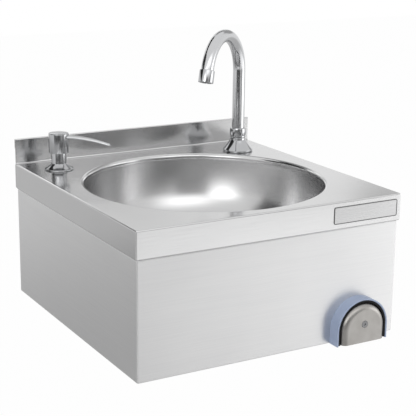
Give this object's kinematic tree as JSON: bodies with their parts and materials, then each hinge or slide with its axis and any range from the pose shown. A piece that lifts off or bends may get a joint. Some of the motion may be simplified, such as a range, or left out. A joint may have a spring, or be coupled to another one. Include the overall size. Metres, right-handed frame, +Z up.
{
  "type": "knee-operated hand-wash sink",
  "caption": "Wall-hung stainless hand-wash sink with a round bowl, swivel gooseneck spout, soap pump and a knee push pad in an arched surround that opens a self-closing valve.",
  "frame": {"origin": "middle of the four wall-fixing holes, on the wall plane at the back of the sink", "axes": "+X to the right seen from the front, +Y into the wall, +Z up"},
  "size_m": [0.4, 0.4195, 0.392],
  "materials": {
    "brushed_sheet": "fine horizontal grain",
    "satin_bowl": "satin, turned",
    "badge_steel": "fine horizontal grain, blank",
    "pad_steel": "fine matt",
    "strainer_steel": "polished",
    "chrome": "mirror plated",
    "brass": "as turned",
    "plain_steel": "plain",
    "blue_edging": "smooth, soft",
    "black_rubber": "matt",
    "black_plastic": "moulded",
    "grey_plastic": "moulded",
    "milky_plastic": "blown or moulded, milky"
  },
  "bodies": {
    "sink": {"basin_top": "brushed_sheet", "casing": "brushed_sheet", "wash_bowl": "satin_bowl", "badge_plate": "badge_steel", "waste_strainer": "strainer_steel", "waste_screw": "strainer_steel", "spout_bell": "chrome", "spout_collar": "chrome", "dispenser_rose": "chrome", "spout_shank": "brass", "spout_lock_nut": "brass", "valve_body": "brass", "valve_bonnet": "brass", "valve_lock_nut": "brass", "pipe_union_nuts": "brass", "return_spring": "plain_steel", "pump_spring": "plain_steel", "check_ball": "plain_steel", "supply_pipe": "plain_steel", "valve_bracket": "plain_steel", "knee_surround": "blue_edging", "knee_liner": "black_rubber", "waste_seal": "black_rubber", "waste_washer": "black_rubber", "spout_rings": "black_rubber", "spout_washer": "black_rubber", "dispenser_washer": "black_rubber", "rod_seal": "black_rubber", "dispenser_shank": "black_plastic", "dispenser_nut": "black_plastic", "waste_body": "grey_plastic", "soap_bottle": "milky_plastic", "pump_cylinder": "milky_plastic", "pump_cap": "milky_plastic", "dip_tube": "milky_plastic"},
    "spout": {"spout_tube": "chrome", "aerator_housing": "chrome", "aerator_insert": "grey_plastic"},
    "soap_plunger": {"pump_stem": "milky_plastic", "pump_piston": "milky_plastic"},
    "soap_head": {"pump_head": "chrome", "pump_nozzle": "chrome"},
    "knee_push": {"knee_pad": "pad_steel", "pad_carrier": "black_plastic", "pad_screw": "plain_steel", "push_rod": "plain_steel", "valve_washer": "black_rubber", "valve_poppet": "brass"}
  },
  "joints": [
    {"name": "knee_pad_push", "type": "slide", "parent": "sink", "child": "knee_push", "axis": [0, 1, 0], "range_m": [0, 0.012], "stiffness_N_per_m": 1200, "springref_m": -0.008, "deforming": ["return_spring"]},
    {"name": "spout_swivel", "type": "hinge", "parent": "sink", "child": "spout", "pos_m": [0.1415, -0.069, 0.118], "axis": [0, 0, 1], "range_deg": [-60, 165]},
    {"name": "pump_press", "type": "slide", "parent": "sink", "child": "soap_plunger", "axis": [0, 0, -1], "range_m": [0, 0.012], "stiffness_N_per_m": 700, "springref_m": -0.01, "deforming": ["pump_spring"]},
    {"name": "pump_turn", "type": "hinge", "parent": "soap_plunger", "child": "soap_head", "pos_m": [-0.1555, -0.061, 0.118], "axis": [0, 0, 1], "range_deg": [-175, 80]}
  ]
}
